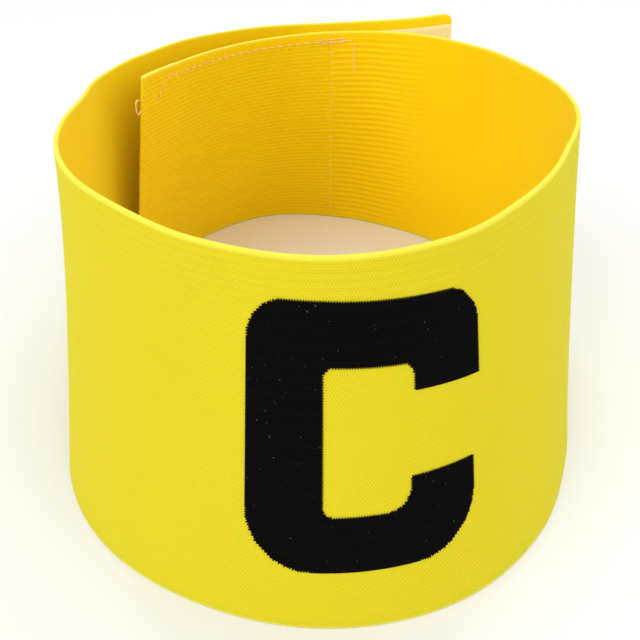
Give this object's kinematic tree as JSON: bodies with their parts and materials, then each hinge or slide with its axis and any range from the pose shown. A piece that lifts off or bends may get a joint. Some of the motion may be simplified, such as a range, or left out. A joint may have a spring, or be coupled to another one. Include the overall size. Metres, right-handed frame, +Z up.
{
  "type": "captain armband",
  "caption": "Yellow woven elastic captain armband standing on its edge, wrapped into a loop with a hook and loop overlap and a black block letter on the front.",
  "frame": {"origin": "centre of the bounding box at the height of the surface that the lower edge stands on", "axes": "+Z up, along the strip's width and the arm's axis; +Y from the front with the letter to the overlap at the back"},
  "size_m": [0.1184, 0.1764, 0.0616],
  "materials": {
    "woven_elastic": "fine matt woven elastic, lemon yellow outside and golden yellow inside",
    "loop_pile": "soft matt loop pile",
    "hook_tape": "beige hook tape with a slightly glossy grain",
    "letter_yarn": "matt black woven yarn"
  },
  "bodies": {
    "root": {"elastic_band": "woven_elastic", "loop_tape": "loop_pile", "hook_tape": "hook_tape", "captain_letter": "letter_yarn"}
  },
  "joints": []
}
